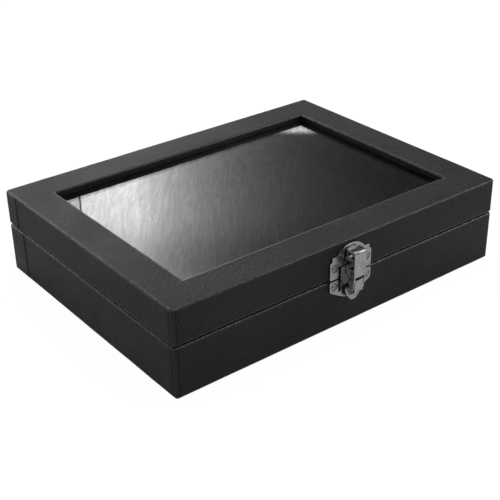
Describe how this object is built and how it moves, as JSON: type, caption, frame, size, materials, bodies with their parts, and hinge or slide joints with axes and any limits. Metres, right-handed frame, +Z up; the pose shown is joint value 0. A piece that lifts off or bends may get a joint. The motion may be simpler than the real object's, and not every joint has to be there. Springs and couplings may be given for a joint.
{
  "type": "pin display case",
  "caption": "Leatherette-covered display case with a hinged glass lid, a toggle latch and a velvet pin pad inside.",
  "frame": {"origin": "centre of the flat underside that the case rests on", "axes": "+X along the front edge to the right, -Y out of the front face that carries the latch, +Z up through the glass"},
  "size_m": [0.2, 0.1603, 0.0457],
  "materials": {
    "leatherette": "black grained leatherette, semi-matt",
    "fibreboard": "bare fibreboard, hidden under the covering",
    "underside_cloth": "black non-woven cloth glued under the base",
    "velvet_lining": "black velvet on card strips",
    "velvet": "black velvet stretched over the pad",
    "foam": "soft foam that holds the pins",
    "greyboard": "grey card",
    "glass": "clear float glass, cut edges",
    "nickel_plate": "satin nickel plate on stamped steel"
  },
  "bodies": {
    "base": {"base_front_panel": "fibreboard", "base_back_panel": "fibreboard", "base_left_panel": "fibreboard", "base_right_panel": "fibreboard", "base_floor": "fibreboard", "base_cover": "leatherette", "underside_sheet": "underside_cloth", "base_liner_front": "velvet_lining", "base_liner_back": "velvet_lining", "base_liner_left": "velvet_lining", "base_liner_right": "velvet_lining", "pin_pad_board": "greyboard", "pin_pad_foam": "foam", "pin_pad_cover": "velvet", "hinge_left_base_leaf": "nickel_plate", "hinge_right_base_leaf": "nickel_plate", "hinge_left_pin": "nickel_plate", "hinge_right_pin": "nickel_plate", "hinge_base_screws": "nickel_plate", "latch_lower_plate": "nickel_plate", "latch_lower_screws": "nickel_plate", "latch_lever_pin": "nickel_plate"},
    "lid": {"lid_front_rail": "fibreboard", "lid_back_rail": "fibreboard", "lid_left_rail": "fibreboard", "lid_right_rail": "fibreboard", "lid_frame_front": "fibreboard", "lid_frame_back": "fibreboard", "lid_frame_left": "fibreboard", "lid_frame_right": "fibreboard", "lid_cover": "leatherette", "glass_pane": "glass", "glass_retainer_front": "velvet_lining", "glass_retainer_back": "velvet_lining", "glass_retainer_left": "velvet_lining", "glass_retainer_right": "velvet_lining", "hinge_left_lid_leaf": "nickel_plate", "hinge_right_lid_leaf": "nickel_plate", "hinge_lid_screws": "nickel_plate", "latch_upper_plate": "nickel_plate", "latch_upper_screws": "nickel_plate"},
    "lever": {"latch_lever": "nickel_plate", "latch_link_pin": "nickel_plate"},
    "link": {"latch_link": "nickel_plate"}
  },
  "joints": [
    {"name": "lid_hinge", "type": "hinge", "parent": "base", "child": "lid", "pos_m": [0, 0.07675, 0.027], "axis": [-1, 0, 0], "range_deg": [0, 100]},
    {"name": "lever_pivot", "type": "hinge", "parent": "base", "child": "lever", "pos_m": [0, -0.078, 0.0262], "axis": [-1, 0, 0], "range_deg": [0, 100]},
    {"name": "link_pivot", "type": "hinge", "parent": "lever", "child": "link", "pos_m": [0, -0.0803, 0.0214], "axis": [-1, 0, 0], "range_deg": [-115, 0]}
  ],
  "couplings": [
    {"joint": "link_pivot", "follows": "lever_pivot", "ratio": -1.15}
  ]
}
